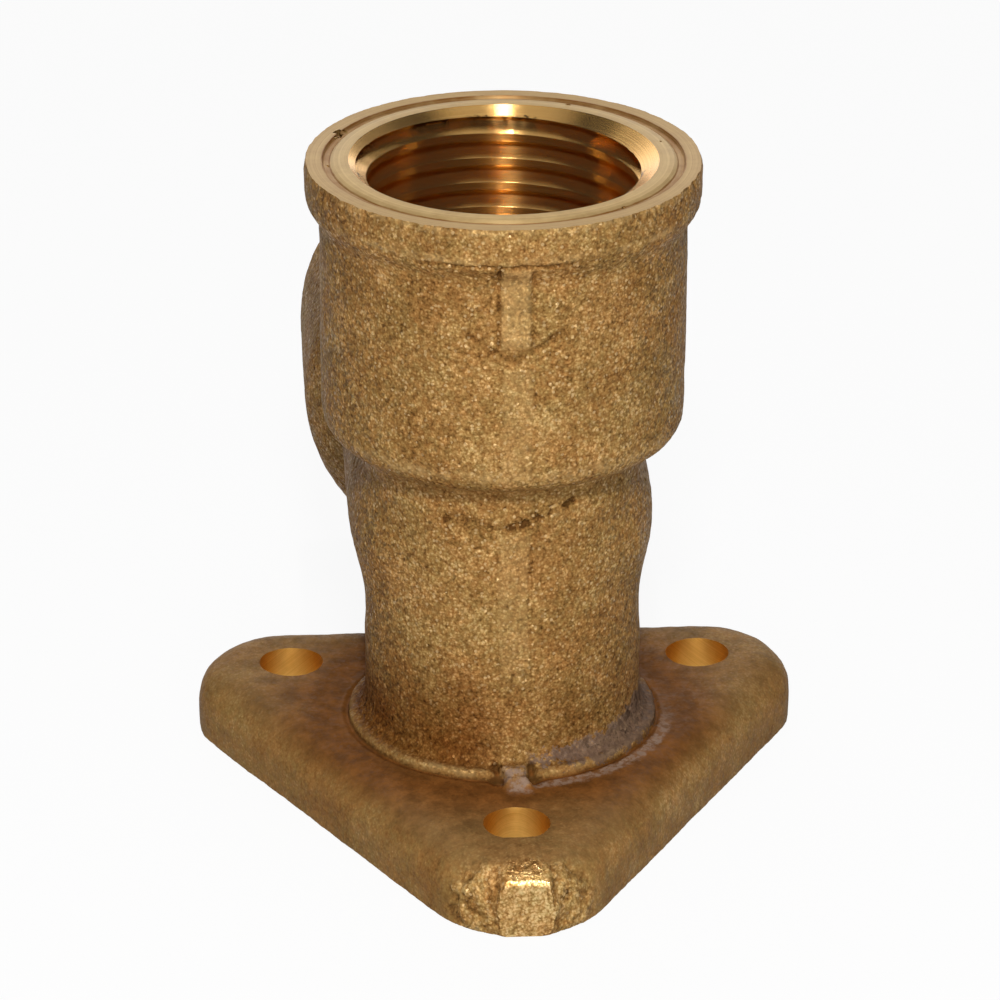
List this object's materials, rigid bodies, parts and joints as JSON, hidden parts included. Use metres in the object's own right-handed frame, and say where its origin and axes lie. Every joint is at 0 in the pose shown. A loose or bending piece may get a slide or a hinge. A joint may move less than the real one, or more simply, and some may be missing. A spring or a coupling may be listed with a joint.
{
  "type": "wall plate elbow",
  "caption": "Cast brass elbow on a three-cornered wall plate, with a threaded tap socket facing out and a solder tube socket at a right angle.",
  "frame": {"origin": "wall face of the plate, under the tap socket's axis", "axes": "+Z out of the tap socket, away from the wall; +Y out of the tube socket"},
  "size_m": [0.043, 0.0622, 0.0467],
  "materials": {
    "cast_brass": "rough sand-cast skin, bright where the mouths, thread and screw holes are machined"
  },
  "bodies": {
    "root": {"elbow_casting": "cast_brass"}
  },
  "joints": []
}
